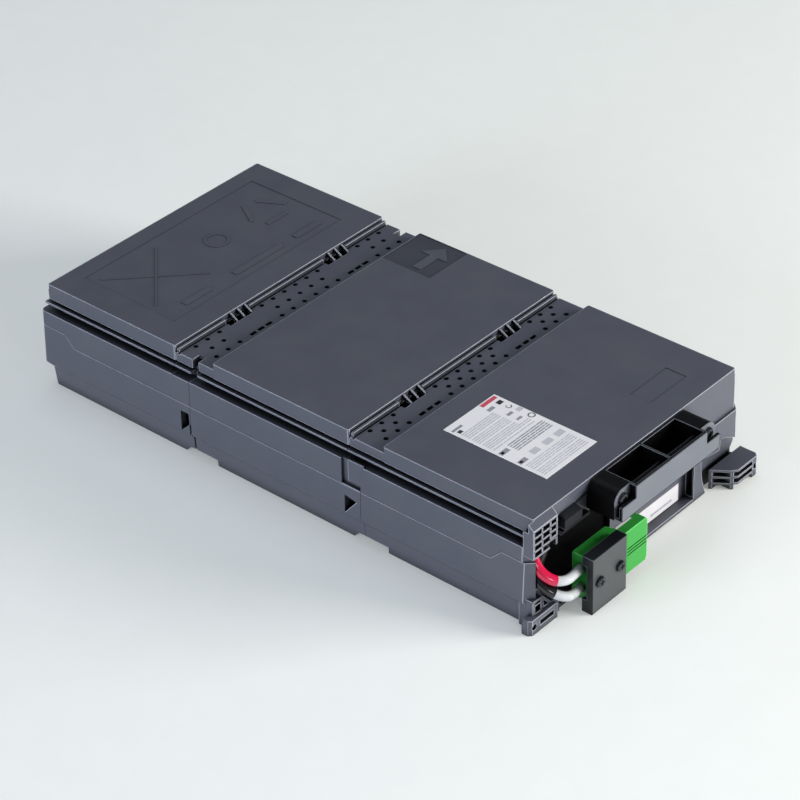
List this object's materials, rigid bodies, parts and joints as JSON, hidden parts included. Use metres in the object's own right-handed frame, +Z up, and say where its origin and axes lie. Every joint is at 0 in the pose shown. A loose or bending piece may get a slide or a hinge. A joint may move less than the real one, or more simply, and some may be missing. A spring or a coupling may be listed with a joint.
{
  "type": "ups battery cartridge",
  "caption": "Slide-in sealed battery cartridge for a rack UPS: hooked plastic modules with perforated bands, front pull handle, locating ears and a battery connector on short leads.",
  "frame": {"origin": "on the ground, in the middle of the body's width and of the length of its raised covers", "axes": "+X across the cartridge to the right seen from its handle, +Y from the handle to the back, +Z up"},
  "size_m": [0.247, 0.4964, 0.0883],
  "materials": {
    "shell": "fine moulded texture, dark blue-grey",
    "handle": "satin black",
    "battery_case": "moulded dark grey",
    "terminal_metal": "tinned",
    "label": "coated film",
    "screw_steel": "dark plated",
    "connector_green": "semi-gloss moulded",
    "contact_copper": "plated copper",
    "foam": "soft closed-cell foam",
    "wire_red": "flexible insulation",
    "wire_black": "flexible insulation"
  },
  "bodies": {
    "root": {"base_foam_front": "foam", "base_foam_middle": "foam", "base_foam_rear": "foam", "battery_left_front": "battery_case", "battery_left_middle": "battery_case", "battery_left_rear": "battery_case", "battery_right_front": "battery_case", "battery_right_middle": "battery_case", "battery_right_rear": "battery_case", "battery_terminals": "terminal_metal", "connector_cap": "handle", "connector_cap_screws": "screw_steel", "connector_contact_negative": "contact_copper", "connector_contact_positive": "contact_copper", "connector_housing": "connector_green", "cover_front": "shell", "cover_middle": "shell", "cover_rear": "shell", "front_label": "label", "fuse_holder": "wire_black", "fused_wire": "wire_red", "handle_screws": "screw_steel", "jumper_wire_1": "wire_black", "jumper_wire_2": "wire_black", "jumper_wire_3": "wire_black", "jumper_wire_4": "wire_black", "jumper_wire_5": "wire_black", "negative_feed": "wire_black", "negative_lead": "wire_black", "positive_feed": "wire_red", "positive_lead": "wire_red", "pull_handle": "handle", "spade_receptacles": "terminal_metal", "top_foam_front": "foam", "top_foam_middle": "foam", "top_foam_rear": "foam", "top_label": "label", "tray_front": "shell", "tray_middle": "shell", "tray_rear": "shell"}
  },
  "joints": []
}
